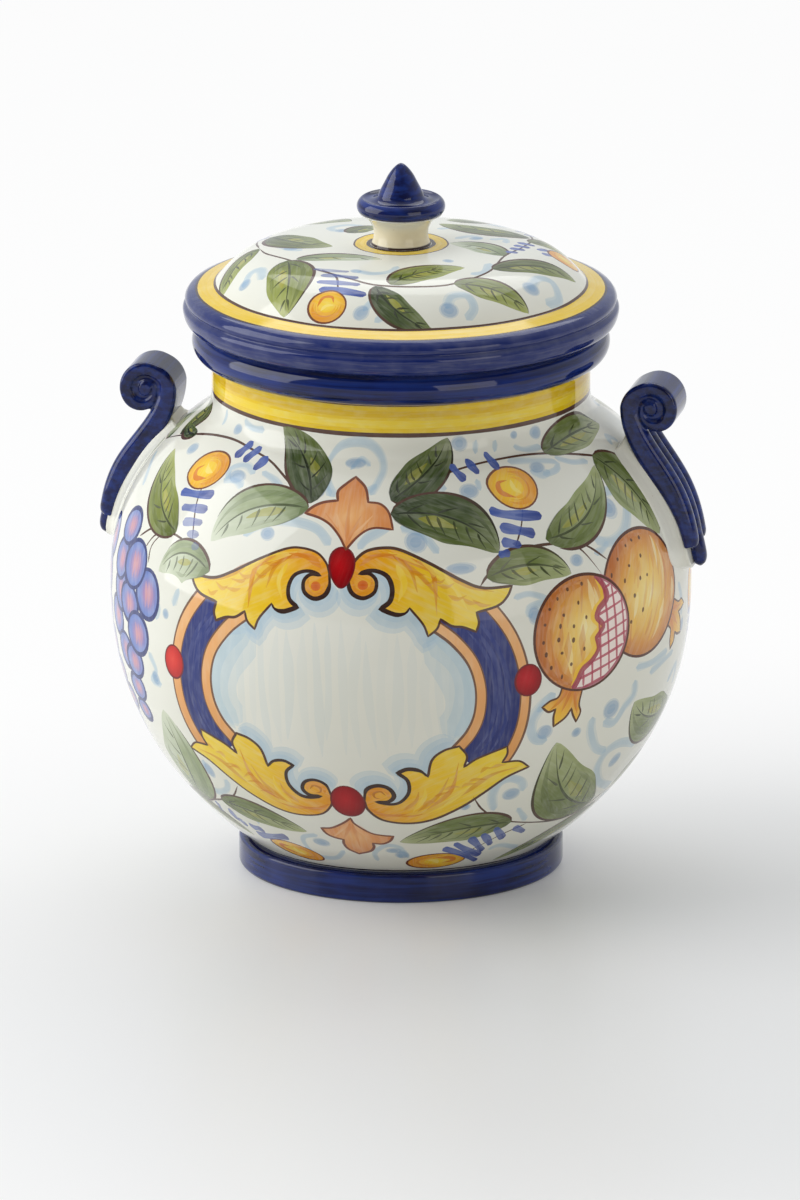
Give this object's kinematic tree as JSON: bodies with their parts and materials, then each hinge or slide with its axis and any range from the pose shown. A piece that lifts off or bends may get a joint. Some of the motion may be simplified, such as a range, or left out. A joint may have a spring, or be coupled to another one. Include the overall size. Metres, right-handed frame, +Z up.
{
  "type": "biscuit jar",
  "caption": "Round footed earthenware biscuit jar with a rolled mouth, a loose domed lid with a pointed knob, and ribbed scroll handles on the shoulder.",
  "frame": {"origin": "centre of the foot's standing face", "axes": "+Z up along the jar's axis of revolution, +X through the right handle, -Y out of the front of the jar"},
  "size_m": [0.2736, 0.254, 0.3149],
  "materials": {
    "painted_glaze": "glossy tin glaze with painted decoration",
    "ivory_glaze": "glossy tin glaze",
    "cobalt_glaze": "glossy cobalt glaze"
  },
  "bodies": {
    "jar": {"foot_ring": "cobalt_glaze", "jar_body": "painted_glaze", "mouth_ring": "cobalt_glaze", "handle_right": "cobalt_glaze", "handle_left": "cobalt_glaze", "handle_pad_right": "ivory_glaze", "handle_pad_left": "ivory_glaze"},
    "lid": {"lid": "painted_glaze", "lid_flange": "ivory_glaze", "knob_stem": "ivory_glaze", "knob_cap": "cobalt_glaze"}
  },
  "joints": [
    {"name": "lid_lift", "type": "slide", "parent": "jar", "child": "lid", "axis": [0, 0, 1], "range_m": [0, 0.1]}
  ]
}
